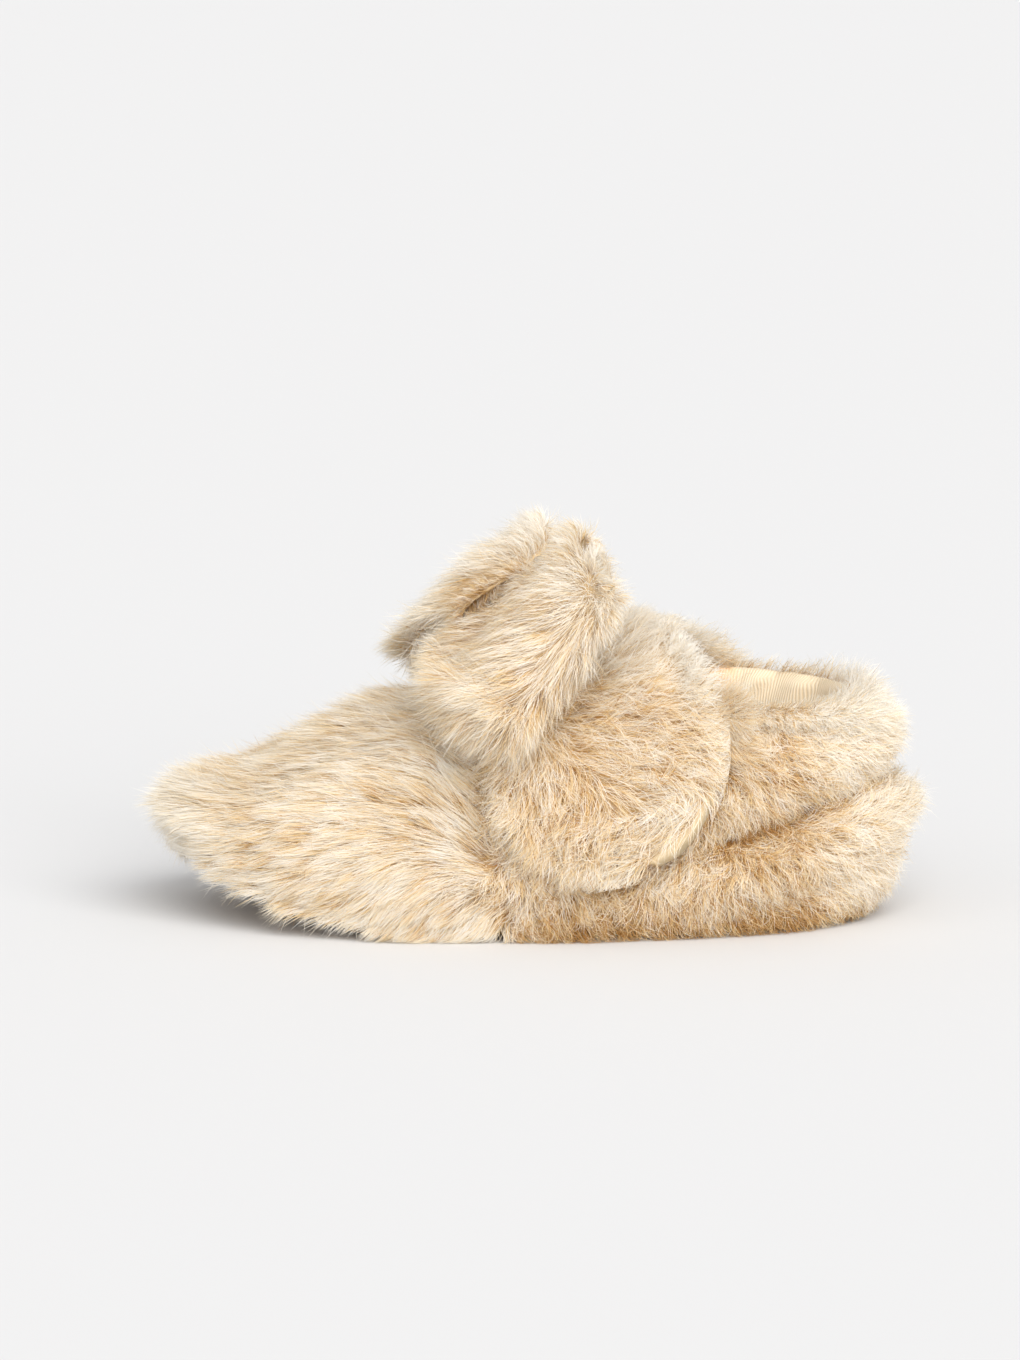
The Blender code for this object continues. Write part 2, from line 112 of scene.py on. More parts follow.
# Uncoated paper is matt and even, so only its tone shows
paper, _, paper_shader = new_material("matt_paper", roughness=0.9, specular=0.1)
paper_shader.inputs["Base Color"].default_value = colour(PAPER)
paper_corners = np.array([(-1, -1, 0), (1, -1, 0), (1, 1, 0), (-1, 1, 0)]) * PAPER_HALF / MM
floor = new_piece("paper_floor", paper_corners, [(0, 1, 2, 3)], [paper])

room = bpy.data.worlds.new("soft_room")
room.use_nodes = True
room.node_tree.nodes["Background"].inputs["Color"].default_value = colour(ROOM_TONE)
room.node_tree.nodes["Background"].inputs["Strength"].default_value = ROOM_LIGHT
bpy.context.scene.world = room

for name, strength, source, spread in LIGHTS:
    light = bpy.data.objects.new(name, bpy.data.lights.new(name, "SUN"))
    light.data.energy = strength
    light.data.angle = math.radians(spread)
    light.data.color = colour(LIGHT_TONE)[:3]
    light.rotation_euler = Vector(source).to_track_quat("Z", "Y").to_euler()
    bpy.context.scene.collection.objects.link(light)

lens = bpy.data.cameras.new("camera")
lens.sensor_fit = "HORIZONTAL"
lens.lens = lens.sensor_width * CAMERA_DISTANCE / FRAME_WIDTH
camera = bpy.data.objects.new("camera", lens)
tilt = math.radians(CAMERA_ELEVATION)
away = Vector((0.0, -math.cos(tilt), math.sin(tilt)))
camera.location = (Vector(CAMERA_AIM) + away * CAMERA_DISTANCE) * MM
camera.rotation_euler = away.to_track_quat("Z", "Y").to_euler()
bpy.context.scene.collection.objects.link(camera)
bpy.context.scene.camera = camera
bpy.context.scene.view_settings.view_transform = "Standard"

# Soft sole: one cut piece of suede, turned up a little at the toe, which the upper is sewn to.
# Its rim is seen under the lifted toe.
SUEDE = "8d7659"
SUEDE_DARK = "6f5b43"
SUEDE_NAP_MM = 0.9
SUEDE_NAP_DEPTH_MM = 0.4
SUEDE_PATCH_MM = 9.0
SUEDE_PATCH_SPAN = (0.35, 0.65)
SOLE_RIM_MM = 0.5
RIM_ANGLE = 50.0


def solid_of(node):
    """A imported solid's points, in millimetres, and triangles, with its split corners joined."""
    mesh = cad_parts[node].data
    points = np.empty(len(mesh.vertices) * 3)
    mesh.vertices.foreach_get("co", points)
    points = points.reshape(-1, 3) / MM
    mesh.calc_loop_triangles()
    tris = np.empty(len(mesh.loop_triangles) * 3, np.int32)
    mesh.loop_triangles.foreach_get("vertices", tris)
    _, first, joined = np.unique(points.round(3), axis=0, return_index=True, return_inverse=True)
    return points[first], joined.reshape(-1)[tris].reshape(-1, 3)


def speckle(tree, size, detail):
    """Soft random specks of about this many millimetres, fixed to the piece."""
    place = add(tree, "TexCoord").outputs["Object"]
    specks = add(tree, "TexNoise", None, {"Vector": place, "Scale": 1000 / size, "Detail": detail})
    return specks.outputs["Fac"]


def tones(tree, share, *stops):
    """A colour that follows a share through stops, each given as a position and a hex code."""
    ramp = add(tree, "ValToRGB", None, {"Fac": share})
    elements = ramp.color_ramp.elements
    for element, (position, code) in zip(elements, (stops[0], stops[-1])):
        element.position, element.color = position, colour(code)
    for position, code in stops[1:-1]:
        elements.new(position).color = colour(code)
    return ramp.outputs["Color"]


def relief(tree, shader, height, strength, depth):
    """Gives the shader a fine relief, this many millimetres deep."""
    bump = add(tree, "Bump", None, {"Height": height, "Strength": strength, "Distance": depth * MM})
    tree.links.new(bump.outputs["Normal"], shader.inputs["Normal"])


def round_rim(piece, title, width):
    """Rounds the piece's sharp edges to this many millimetres."""
    rounded = piece.modifiers.new(title, "BEVEL")
    rounded.width = width * MM
    rounded.segments = 2
    rounded.angle_limit = math.radians(RIM_ANGLE)


# Suede is a short fuzzy nap, brushed to patches of lighter and darker tone, with no shine
suede, tree, shader = new_material("brushed_suede", roughness=0.95, specular=0.15)
patches = speckle(tree, SUEDE_PATCH_MM, 4.0)
brushed = tones(tree, patches, (SUEDE_PATCH_SPAN[0], SUEDE_DARK), (SUEDE_PATCH_SPAN[1], SUEDE))
tree.links.new(brushed, shader.inputs["Base Color"])
relief(tree, shader, speckle(tree, SUEDE_NAP_MM, 2.0), 0.5, SUEDE_NAP_DEPTH_MM)
shader.inputs["Sheen Weight"].default_value = 0.3

sole_points, sole_tris = solid_of("outsole")
sole = new_piece("suede_sole", sole_points, sole_tris, [suede])
round_rim(sole, "rounded rim", SOLE_RIM_MM)
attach(sole, "root")
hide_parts("outsole")

# Insole: a thin foam sheet faced with the lining's rib knit, cut to the sole's outline and laid on
# the sole inside the shoe. It is seen through the collar from above.
KNIT = "f6e6cb"
KNIT_SHADE = "eed8b4"
# Painted light: a peach glow in the collar's front corner, with where it fades and how strong it is
KNIT_PEACH_GLOW = "ffcf9e"
PEACH_TO = (33.2, 35.6)
PEACH_ABOVE = (31.0, 34.0)
PEACH_MOST = 0.6
RIB_MM = 0.5
RIB_DEPTH_MM = 0.3
WAVE_LENGTH = 2 * math.pi / 20.0
INSOLE_RIM_MM = 0.4

# A fine rib knit has rows of upright stitches, so it is soft and matt, with painted shade in its narrow
# grooves.
# A painted peach glow warms it in the collar's front corner, for light that comes through the strap's fur
knit, tree, shader = new_material("cotton_rib_knit", roughness=0.85, specular=0.2)
place = add(tree, "TexCoord")
ribs = add(
    tree,
    "TexWave",
    {"wave_type": "BANDS", "bands_direction": "X", "wave_profile": "SIN"},
    {"Vector": place.outputs["UV"], "Scale": 1.0, "Distortion": 0.6, "Detail": 1.0, "Detail Scale": 4.0},
)
# Painted shade: the rib grooves take the darker KNIT_SHADE tone
groove = tones(tree, ribs.outputs["Fac"], (0.0, KNIT_SHADE), (0.55, KNIT))
parts = add(tree, "SeparateXYZ", None, {"Vector": place.outputs["Object"]})
forward = add(
    tree,
    "MapRange",
    None,
    {
        "Value": parts.outputs["X"],
        "From Min": PEACH_TO[0] * MM,
        "From Max": PEACH_TO[1] * MM,
        "To Min": PEACH_MOST,
        "To Max": 0.0,
    },
)
high = add(
    tree,
    "MapRange",
    None,
    {"Value": parts.outputs["Z"], "From Min": PEACH_ABOVE[0] * MM, "From Max": PEACH_ABOVE[1] * MM},
)
corner = add(
    tree, "Math", {"operation": "MULTIPLY"}, {0: forward.outputs["Result"], 1: high.outputs["Result"]}
)
# Painted light: the peach glow is mixed in where light comes through the strap
glowed_through_strap = add(
    tree,
    "Mix",
    {"data_type": "RGBA"},
    {"Factor": corner.outputs["Value"], "A": groove, "B": colour(KNIT_PEACH_GLOW)},
)
tree.links.new(glowed_through_strap.outputs["Result"], shader.inputs["Base Color"])
relief(tree, shader, ribs.outputs["Fac"], 0.4, RIB_DEPTH_MM)
shader.inputs["Sheen Weight"].default_value = 0.2


def rib_map(piece, across, along):
    """A UV map in which one rib is one wave of the texture, from two lengths in millimetres per point."""
    layer = piece.data.uv_layers.new(name="ribs")
    corner = np.empty(len(piece.data.loops), np.int32)
    piece.data.loops.foreach_get("vertex_index", corner)
    flat = np.stack([across, along], axis=-1)[corner] / RIB_MM * WAVE_LENGTH
    layer.data.foreach_set("uv", flat.astype(np.float32).ravel())


insole_points, insole_tris = solid_of("insole")
insole = new_piece("knit_insole", insole_points, insole_tris, [knit])
rib_map(insole, insole_points[:, 1], insole_points[:, 0])
round_rim(insole, "soft edge", INSOLE_RIM_MM)
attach(insole, "root")
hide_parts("insole")

# Upper's fabric: the knitted backing that carries the pile, cut as vamp and quarters, sewn at the
# side seams and to the sole, and lined. It lies one pile's depth under the solid's outer face.
UPPER_PILE_DEPTH = 3.6
UPPER_CLOTH = 1.3
SMOOTH_ROUNDS = 5
CORE_PLACES = (-46.0, -20.0, 44.0)
CORE_RISES = (15.0, 13.0, 20.0)
CORE_ASIDE = 1.5
BACKING = "e6d0a8"
BACKING_DARK = "cfae7c"
STITCH_MM = 5 / 6
FOLD_PLACE = 26.0
FOLD_RISE = 15.5
FOLD_SLOPE = 0.27
FOLD_DEPTH = 3.2
FOLD_HALF = 1.5
UPPER_ROLL_RISE = 0.3
LOWER_ROLL_RISE = 2.4
ROLL_OFF = 5.5
ROLL_HALF = 3.0
FOLD_FADE = (20.0, 34.0)
SEAM_FOOT = -3.5
SEAM_FOOT_RISE = 2.0
SEAM_SLOPE = -0.19
SEAM_DEPTH = 1.2
SEAM_HALF = 2.0


def unit(vectors):
    """The vectors, each made one long."""
    return vectors / np.maximum(np.linalg.norm(vectors, axis=-1, keepdims=True), 1e-9)


def smooth_step(low, high, value):
    """0 at low, 1 at high, with an easy start and end. High may be below low."""
    share = np.clip((np.asarray(value, float) - low) / (high - low), 0.0, 1.0)
    return share * share * (3.0 - 2.0 * share)


def neighbours_mean(values, tris):
    """The mean of each point's neighbours along the triangles' edges."""
    ends = np.concatenate([tris[:, [0, 1]], tris[:, [1, 2]], tris[:, [2, 0]]])
    ends = np.concatenate([ends, ends[:, ::-1]])
    total = np.zeros_like(values)
    np.add.at(total, ends[:, 0], values[ends[:, 1]])
    count = np.bincount(ends[:, 0], minlength=len(values)).astype(float)
    return total / count.reshape(-1, *([1] * (values.ndim - 1)))


def eased(points, tris, rounds):
    """Points with the locks flattened: each round draws them to their neighbours and swells back."""
    for _ in range(rounds):
        for share in (0.5, -0.52):
            points = points + share * (neighbours_mean(points, tris) - points)
    return points


def normals_of(points, tris):
    """Unit normals at the points, from the triangles round each."""
    a, b, c = (points[tris[:, k]] for k in range(3))
    flat = np.cross(b - a, c - a)
    total = np.zeros_like(points)
    for k in range(3):
        np.add.at(total, tris[:, k], flat)
    return unit(total)


def tree_of(points, tris):
    """A search tree of triangles, for rays."""
    return BVHTree.FromPolygons(points.tolist(), tris.tolist())


def reach_of(solid_tree, starts, ways, limit):
    """How far each ray goes before it meets the solid, up to a limit."""
    found = np.full(len(starts), limit)
    for k, (start, way) in enumerate(zip(starts.tolist(), ways.tolist())):
        distance = solid_tree.ray_cast(start, way, limit)[3]
        if distance is not None:
            found[k] = distance
    return found


def sunk(points, tris, outside, depth, cloth, sides=1):
    """Outside points moved in by the pile's depth, where the wall leaves that much over the cloth.

    sides says on how many of its sides the wall bears pile.
    """
    normals = normals_of(points, tris)
    wall = reach_of(tree_of(points, tris), points - normals * 0.05, -normals, 30.0)
    move = np.where(outside, np.clip((wall - cloth) / sides, 0.2, depth), 0.0)
    for _ in range(2):
        move = 0.5 * move + 0.5 * np.minimum(move, neighbours_mean(move, tris))
    return points - normals * move[:, None]


# The backing is a dense tan knit, only seen where the pile parts, so it is matt and even
backing, tree, shader = new_material("pile_backing_knit", roughness=0.95, specular=0.1)
stitches = tones(tree, speckle(tree, STITCH_MM, 2.0), (0.0, BACKING_DARK), (1.0, BACKING))
tree.links.new(stitches, shader.inputs["Base Color"])

upper_points, upper_tris = solid_of("upper")
upper_points = eased(upper_points, upper_tris, SMOOTH_ROUNDS)
upper_normals = normals_of(upper_points, upper_tris)
core = np.stack(
    [
        np.clip(upper_points[:, 0], CORE_PLACES[0], CORE_PLACES[-1]),
        CORE_ASIDE * smooth_step(-15.0, -60.0, upper_points[:, 0]),
        np.interp(upper_points[:, 0], CORE_PLACES, CORE_RISES),
    ],
    axis=-1,
)
upper_outside = np.sum(upper_normals * (core - upper_points), axis=1) < 0.0
upper_skin = sunk(upper_points, upper_tris, upper_outside, UPPER_PILE_DEPTH, UPPER_CLOTH)


def off_fold(places):
    """How far places are above the fold round the heel, and how much of the fold there is there."""
    line = FOLD_RISE + FOLD_SLOPE * (places[:, 0] - FOLD_PLACE)
    return places[:, 2] - line, smooth_step(*FOLD_FADE, places[:, 0])


def off_seam(places):
    """How far places are behind the seam between vamp and quarter."""
    return places[:, 0] - (SEAM_FOOT + SEAM_SLOPE * (places[:, 2] - SEAM_FOOT_RISE))


seam_dip = SEAM_DEPTH * np.exp(-((off_seam(upper_skin) / SEAM_HALF) ** 2))
seam_dip = seam_dip * smooth_step(32.0, 26.0, upper_skin[:, 2]) * smooth_step(1.5, 6.0, upper_skin[:, 2])
above, folded = off_fold(upper_skin)
trough = FOLD_DEPTH * np.exp(-((above / FOLD_HALF) ** 2))
roll_rise = np.where(above > 0.0, UPPER_ROLL_RISE, LOWER_ROLL_RISE)
rolls = roll_rise * np.exp(-(((np.abs(above) - ROLL_OFF) / ROLL_HALF) ** 2))
fold_move = np.where(upper_outside, folded * (rolls - trough) - seam_dip, 0.0)
upper_skin = upper_skin + normals_of(upper_skin, upper_tris) * fold_move[:, None]
inner_face = ~upper_outside[upper_tris].any(axis=1)
upper_cloth = new_piece("upper_cloth", upper_skin, upper_tris, [backing, knit], inner_face.astype(int))
rib_map(upper_cloth, upper_skin[:, 0], upper_skin[:, 2])
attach(upper_cloth, "root")
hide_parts("upper")

# Pile of the upper: long silky fibres knitted into the backing, which cling together in locks. They
# are pale at the tips and golden at the roots, where painted shade darkens them further for the gaps
# between locks. They lie forward on the vamp and back on the quarters, and a few longer ones stand
# up in the collar's front corner.
FIBRE_TONES_AND_ROOT_SHADE = ((0.0, "b8925a"), (0.3, "f3e3c2"), (0.6, "fffaf0"), (1.0, "fffffc"))
STRAND_TINTS = ((0.0, "b98a4c"), (0.25, "f4dcaa"), (0.5, "fef4e0"), (1.0, "ffffff"))
PALE_TONE = "fffcf6"
PALE_FROM = 0.4
PALE_MOST = 0.85
FIBRE_WIDTH = 0.1
LIGHT_THROUGH = 0.35
RIM_STAND = 46.0
RIM_CROWDING = 18.0
PARTED_LIFT = 22.0
PARTED_PALER = 0.05
LOCK_TINT = 0.13
STRAND_TINT = 0.25
LOWEST_STRAND = 0.15
STRAIGHT_STEPS = np.array([0.0, 0.5, 1.0])
CURLED_STEPS = np.array([0.0, 0.34, 0.68, 1.0])

# Silky acrylic fibre: soft highlights, pale tips, a warmer tone down in the locks that is partly the
# fibre's own golden and partly painted shade, and light that comes through the strands, so that the
# shaded side of a lock glows
pile, tree, shader = new_material("acrylic_pile", roughness=0.55, specular=0.35)
place = add(tree, "UVMap", {"uv_map": "OFBake"})
parts = add(tree, "SeparateXYZ", None, {"Vector": place.outputs["UV"]})
along = tones(tree, parts.outputs["Y"], *FIBRE_TONES_AND_ROOT_SHADE)
strand = tones(tree, parts.outputs["X"], *STRAND_TINTS)
dyed = add(
    tree, "Mix", {"data_type": "RGBA", "blend_type": "MULTIPLY"}, {"Factor": 1.0, "A": along, "B": strand}
)
pale = add(
    tree,
    "MapRange",
    None,
    {"Value": parts.outputs["X"], "From Min": PALE_FROM, "From Max": 1.0, "To Max": PALE_MOST},
)
faded = add(
    tree,
    "Mix",
    {"data_type": "RGBA"},
    {"Factor": pale.outputs["Result"], "A": dyed.outputs["Result"], "B": colour(PALE_TONE)},
)
tree.links.new(faded.outputs["Result"], shader.inputs["Base Color"])
glow = add(tree, "BsdfTranslucent", None, {"Color": faded.outputs["Result"]})
fibre = add(
    tree, "MixShader", None, {"Fac": LIGHT_THROUGH, 1: shader.outputs["BSDF"], 2: glow.outputs["BSDF"]}
)
tree.links.new(fibre.outputs["Shader"], tree.nodes["Material Output"].inputs["Surface"])


def stand_on_rims(points, tris):
    """Degrees by which pile stands up more where the cloth turns sharply, as it does at an edge."""
    around = np.linalg.norm(neighbours_mean(normals_of(points, tris), tris), axis=1)
    return RIM_STAND * smooth_step(0.95, 0.65, around)


def drift(points, size, seed):
    """A slow random field, mostly from -1 to 1, that changes over about this many millimetres."""
    draw = np.random.default_rng(seed)
    ways = unit(draw.normal(size=(7, 3))) * draw.uniform(0.7, 1.4, (7, 1)) * 2 * math.pi / size
    return np.sin(points @ ways.T + draw.uniform(0, 2 * math.pi, 7)).mean(axis=1) * 1.8


def combed(points, normals, table, reach):
    """The way the pile lies, from directions given in side view, and how far they agree there."""
    rows = np.array(table, float)
    near = np.sum((points[:, None, [0, 2]] - rows[None, :, :2]) ** 2, axis=2)
    weight = np.exp(-near / reach**2) + 1e-12
    side = weight @ unit(rows[:, 2:]) / weight.sum(axis=1, keepdims=True)
    agree = np.linalg.norm(side, axis=1)
    side = unit(side)
    way = np.stack([side[:, 0], np.zeros(len(side)), side[:, 1]], axis=-1)
    way = way - normals * np.sum(way * normals, axis=1, keepdims=True)
    down = np.array([0.0, 0.0, -0.25]) + 0.25 * normals * normals[:, 2:]
    return unit(way + down * smooth_step(0.5, 0.1, np.linalg.norm(way, axis=1))[:, None]), agree


def turned(ways, normals, angle):
    """Directions along the surface turned about its normal."""
    return ways * np.cos(angle)[:, None] + np.cross(normals, ways) * np.sin(angle)[:, None]


def strand_lines(roots, normals, ways, length, rise, lie, curl, steps):
    """Points along strands that start at the rise angle, bend over to the lie angle and curl aside."""
    share = (steps[1:] + steps[:-1]) / 2
    slope = np.radians(rise[:, None] + (lie - rise)[:, None] * share)[..., None]
    heading = np.radians(curl[:, None] * share)[..., None]
    aside = np.cross(normals, ways)
    flat = ways[:, None] * np.cos(heading) + aside[:, None] * np.sin(heading)
    way = flat * np.cos(slope) + normals[:, None] * np.sin(slope)
    moves = way * (length[:, None] * np.diff(steps))[..., None]
    return roots[:, None] + np.concatenate([np.zeros_like(moves[:, :1]), np.cumsum(moves, axis=1)], axis=1)


def grow_pile(name, points, whole, chosen, count, comb, look, keep=None, guide=None):
    """Strands of pile as narrow tapered ribbons on the chosen triangles of a whole, in one mesh.

    comb is a table of directions and its reach. look holds the pile's length, rise, lie and curl
    angles, lock size, share of stray strands, stand at rims, tint and seed. keep says how much of
    its height a root's strand keeps, and guide moves strand points that would leave their place.
    """
    draw = np.random.default_rng(look["seed"])
    wide = FIBRE_WIDTH
    tris = whole[chosen]
    corner = points[tris]
    area = 0.5 * np.linalg.norm(np.cross(corner[:, 1] - corner[:, 0], corner[:, 2] - corner[:, 0]), axis=1)
    edges = stand_on_rims(points, whole)
    weight = area * (1.0 + edges[tris].mean(axis=1) / RIM_CROWDING)
    mark = (np.arange(count) + draw.uniform(0, 1, count)) / count * weight.sum()
    face = np.minimum(np.searchsorted(np.cumsum(weight), mark), len(tris) - 1)
    first, second = draw.uniform(0, 1, count), draw.uniform(0, 1, count)
    flip = first + second > 1
    first, second = np.where(flip, 1 - first, first), np.where(flip, 1 - second, second)
    share = np.stack([1 - first - second, first, second], axis=-1)[..., None]
    roots = np.sum(corner[face] * share, axis=1)
    normals = unit(np.sum(normals_of(points, whole)[tris[face]] * share, axis=1))
    stand = look["rim_stand"] * np.sum(edges[tris[face]] * share[..., 0], axis=1)
    height = np.ones(count) if keep is None else keep(roots, normals)
    kept = height > 0.02
    roots, normals, height, stand = roots[kept], normals[kept], height[kept], stand[kept]
    count = len(roots)

    table, reach = comb
    ways, agree = combed(roots, normals, table, reach)
    wander = look["wander"] * (drift(roots, 22.0, look["seed"]) + 0.6 * drift(roots, 9.0, look["seed"] + 1))
    ways = turned(ways, normals, np.radians(wander))

    locks = draw.permutation(count)[: max(int(area.sum() / look["lock"] ** 2), 1)]
    finder = KDTree(len(locks))
    for k, place in enumerate(roots[locks].tolist()):
        finder.insert(place, k)
    finder.balance()
    loose = roots + draw.normal(size=(count, 3)) * 0.3 * look["lock"]
    lock = np.array([finder.find(place)[1] for place in loose.tolist()])
    number = len(locks)
    lock_turn = np.radians(draw.normal(size=number) * look["scatter"])
    lock_length = draw.uniform(0.85, 1.15, number)
    lock_rise = draw.uniform(-6.0, 6.0, number)
    lock_curl = draw.normal(size=number) * look["curl"]
    lock_tint = draw.normal(size=number)

    steps = look["steps"]
    longer, lifted = look["vary"](roots)
    parted = smooth_step(0.85, 0.3, agree)
    lifted = np.maximum(lifted + PARTED_LIFT * parted, stand)
    stray = draw.uniform(0, 1, count) < look["stray"]
    length = look["length"] * longer * lock_length[lock] * draw.uniform(0.72, 1.12, count)
    rise = look["rise"] + lifted + lock_rise[lock] + draw.normal(size=count) * 6.0 + 12.0 * stray
    lie = look["lie"] + 0.6 * lifted + lock_rise[lock] * 0.5 + draw.normal(size=count) * 5.0 + 20.0 * stray
    turn = np.radians(draw.normal(size=count) * (7.0 + 22.0 * stray + 1.2 * stand))
    curl = lock_curl[lock] + draw.normal(size=count) * (0.5 * look["curl"] + 20.0 * stray)
    own_ways = turned(ways, normals, lock_turn[lock] + turn)
    lines = strand_lines(roots, normals, own_ways, length, rise * height, lie * height, curl, steps)
    heart = strand_lines(
        roots[locks],
        normals[locks],
        turned(ways[locks], normals[locks], lock_turn),
        look["length"] * longer[locks] * lock_length,
        (look["rise"] + lifted[locks] + lock_rise) * height[locks],
        (look["lie"] + 0.6 * lifted[locks] + lock_rise * 0.5) * height[locks],
        lock_curl,
        steps,
    )
    loosened = np.where(stray, 0.0, 1.0 - stand / 60.0)
    cling = (look["cling"] * draw.uniform(0.4, 1.2, count) * loosened)[:, None] * steps[None, :] ** 1.3
    lines = lines + np.clip(cling, 0.0, 0.95)[..., None] * (heart[lock] - lines)
    lines = lines + draw.normal(size=lines.shape) * look["frizz"] * steps[None, :, None]
    if guide is not None:
        lines = guide(lines)
    lines[..., 2] = np.maximum(lines[..., 2], LOWEST_STRAND)

    along_strand = unit(np.gradient(lines, axis=1))
    facing = unit(normals + 0.3 * draw.normal(size=(count, 3)))
    aside = unit(np.cross(along_strand, facing[:, None]))[:, :-1]
    rows = len(steps) - 1
    taper = np.interp(steps[:-1], [0.0, 0.35, 1.0], [0.7, 1.0, 0.45])
    thick = wide * (draw.uniform(0.7, 1.3, count) * (1.0 - 0.3 * stray))[:, None] * taper[None, :] * 0.5
    left, right = (lines[:, :-1] + sign * aside * thick[..., None] for sign in (-1.0, 1.0))
    sides = np.stack([left, right], axis=2).reshape(count, 2 * rows, 3)
    verts = np.concatenate([sides, lines[:, -1:]], axis=1)
    quads = [[2 * k, 2 * k + 1, 2 * k + 3, 2 * k + 2] for k in range(rows - 1)]
    corners = np.array([*sum(quads, []), 2 * rows - 2, 2 * rows - 1, 2 * rows])
    loops = (np.arange(count)[:, None] * (2 * rows + 1) + corners[None, :]).ravel()

    tint = look["tint"](roots) + PARTED_PALER * parted + LOCK_TINT * lock_tint[lock]
    tint = tint + STRAND_TINT * draw.normal(size=count)
    across = np.append(np.tile([-1, 1], rows), 0) * 0.006
    flat = np.empty((count, 2 * rows + 1, 2), np.float32)
    flat[..., 0] = np.clip(tint, 0.02, 0.98)[:, None] + across[None, :]
    flat[..., 1] = np.append(np.repeat(steps[:-1], 2), 1.0) * 0.96 + 0.02

    mesh = bpy.data.meshes.new(name)
    mesh.vertices.add(count * (2 * rows + 1))
    mesh.vertices.foreach_set("co", (verts * MM).astype(np.float32).ravel())
    mesh.loops.add(len(loops))
    mesh.loops.foreach_set("vertex_index", loops.astype(np.int32))
    mesh.polygons.add(count * rows)
    starts = (np.arange(count)[:, None] * len(corners) + 4 * np.arange(rows)[None, :]).ravel()
    mesh.polygons.foreach_set("loop_start", starts.astype(np.int32))
    mesh.polygons.foreach_set("use_smooth", np.ones(count * rows, bool))
    mesh.update(calc_edges=True)
    layer = mesh.uv_layers.new(name="OFBake")
    layer.data.foreach_set("uv", flat.reshape(-1, 2)[loops].ravel())
    mesh.materials.append(pile)
    piece = bpy.data.objects.new(name, mesh)
    bpy.context.scene.collection.objects.link(piece)
    return piece


# Side-view places and directions of the vamp's and the quarters' pile
VAMP_COMB = (
    (-64.0, 24.0, -1.0, 0.05),
    (-55.0, 27.0, -1.0, 0.15),
    (-45.0, 30.0, -1.0, 0.20),
    (-33.0, 34.0, -1.0, 0.16),
    (-24.0, 37.0, -1.0, 0.12),
    (-50.0, 21.0, -1.0, 0.12),
    (-38.0, 23.0, -1.0, 0.04),
    (-25.0, 27.0, -1.0, 0.10),
    (-15.0, 27.0, -0.95, 0.25),
    (-10.0, 22.0, -0.70, 0.70),
    (-14.0, 18.0, -0.95, 0.30),
    (-7.0, 14.0, -0.60, 0.80),
    (-28.0, 18.0, -1.0, -0.05),
    (-20.0, 12.0, -0.90, -0.40),
    (-32.0, 11.0, -0.97, -0.22),
    (-11.0, 9.0, -0.70, -0.70),
    (-6.5, 5.0, -0.60, -0.80),
    (-20.0, 5.0, -0.75, -0.65),
    (-33.0, 4.0, -0.80, -0.55),
    (-44.0, 12.0, -0.97, -0.12),
    (-56.0, 17.0, -1.0, 0.02),
    (-62.0, 15.0, -0.80, -0.60),
    (-54.0, 11.0, -0.85, -0.50),
)
QUARTER_COMB = (
    (30.0, 43.0, 0.90, -0.10),
    (37.0, 41.0, 0.90, -0.30),
    (33.0, 35.0, 0.70, -0.70),
    (39.0, 30.0, 0.70, -0.70),
    (45.0, 33.0, 0.90, -0.30),
    (56.0, 36.0, 1.00, 0.05),
    (58.0, 29.0, 0.95, -0.20),
    (48.0, 26.0, 0.85, -0.45),
    (36.0, 22.0, 0.45, -0.85),
    (29.0, 14.0, -0.05, -1.00),
    (36.0, 12.0, 0.30, -0.95),
    (44.0, 11.0, 0.65, -0.70),
    (50.0, 15.0, 0.85, -0.30),
    (58.0, 19.0, 0.80, 0.40),
    (61.0, 12.0, 0.80, -0.50),
    (58.0, 4.0, 0.20, -0.95),
    (21.0, 10.0, -0.30, -0.90),
    (12.0, 6.0, 0.35, -0.85),
    (4.0, 8.0, 0.15, -0.95),
    (-2.0, 14.0, -0.10, -0.95),
    (0.0, 24.0, 0.30, -0.80),
    (24.0, 4.0, 0.60, -0.70),
    (48.0, 4.0, 0.75, -0.60),
)

ROOM_TO_STAND = 9.0
ROOM_TO_LIE = 4.6
strap_points, strap_tris = solid_of("strap")
strap_tree = tree_of(strap_points, strap_tris)


def under_the_strap(roots, normals):
    """Pile under the strap lies flat, and none stands where the strap presses on it."""
    room = reach_of(strap_tree, roots, normals, ROOM_TO_STAND)
    return np.where(room < ROOM_TO_STAND, np.where(room < ROOM_TO_LIE, 0.0, 0.3), 1.0)


def upper_tint(places):
    """Golden low on the quarters, darker with painted shade in the fold and along the seam, and paler round
    the collar and on the vamp, with painted light that makes the toe and heel paler.
    """
    behind = smooth_step(-8.0, 6.0, places[:, 0])
    low = smooth_step(10.0, 2.0, places[:, 2]) * behind
    above, folded = off_fold(places)
    # Painted shade in the crease of the fold
    crease = folded * np.exp(-((above / 1.6) ** 2))
    rim = smooth_step(30.0, 36.0, places[:, 2]) * behind
    # Painted light: the lit toe and heel are made paler
    toe = smooth_step(-44.0, -58.0, places[:, 0])
    heel = smooth_step(40.0, 52.0, places[:, 0])
    tint = 0.66 + 0.14 * toe - 0.18 * behind + 0.28 * heel + 0.16 * rim
    # Painted shade along the seam between vamp and quarter
    seam = np.exp(-((off_seam(places) / 1.1) ** 2)) * smooth_step(28.0, 22.0, places[:, 2])
    tint = tint - 0.25 * seam
    clumps = low * (0.26 * drift(places, 3.0, 8) - 0.48)
    return tint + clumps - 0.65 * crease + 0.06 * drift(places, 18.0, 5)


